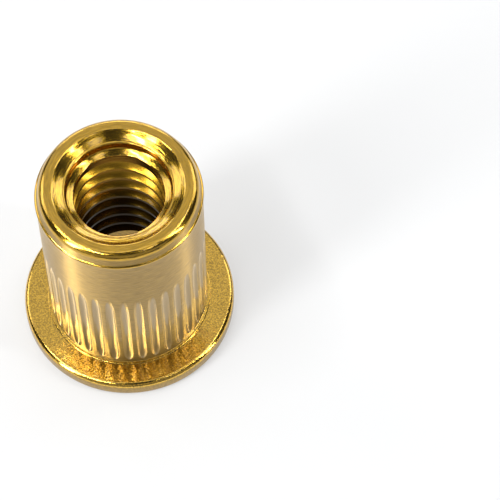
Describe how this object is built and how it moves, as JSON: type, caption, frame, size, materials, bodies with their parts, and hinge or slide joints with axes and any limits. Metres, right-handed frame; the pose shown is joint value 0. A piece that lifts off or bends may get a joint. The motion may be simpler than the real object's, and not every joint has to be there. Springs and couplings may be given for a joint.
{
  "type": "rivet nut",
  "caption": "Flat-head blind rivet nut with a fluted barrel, a wide round flange and a coarse metric internal thread.",
  "frame": {"origin": "centre of the flange's outer face, on the axis of the threaded hole", "axes": "+Z along the axis from the flange towards the threaded end; X and Y are free by symmetry, with a flute 5 degrees from +X"},
  "size_m": [0.012, 0.012, 0.0133],
  "materials": {
    "plated_brass": "satin yellow metal, finely turned on the smooth band and the end face, brighter on the edges"
  },
  "bodies": {
    "root": {"rivet_nut": "plated_brass"}
  },
  "joints": []
}
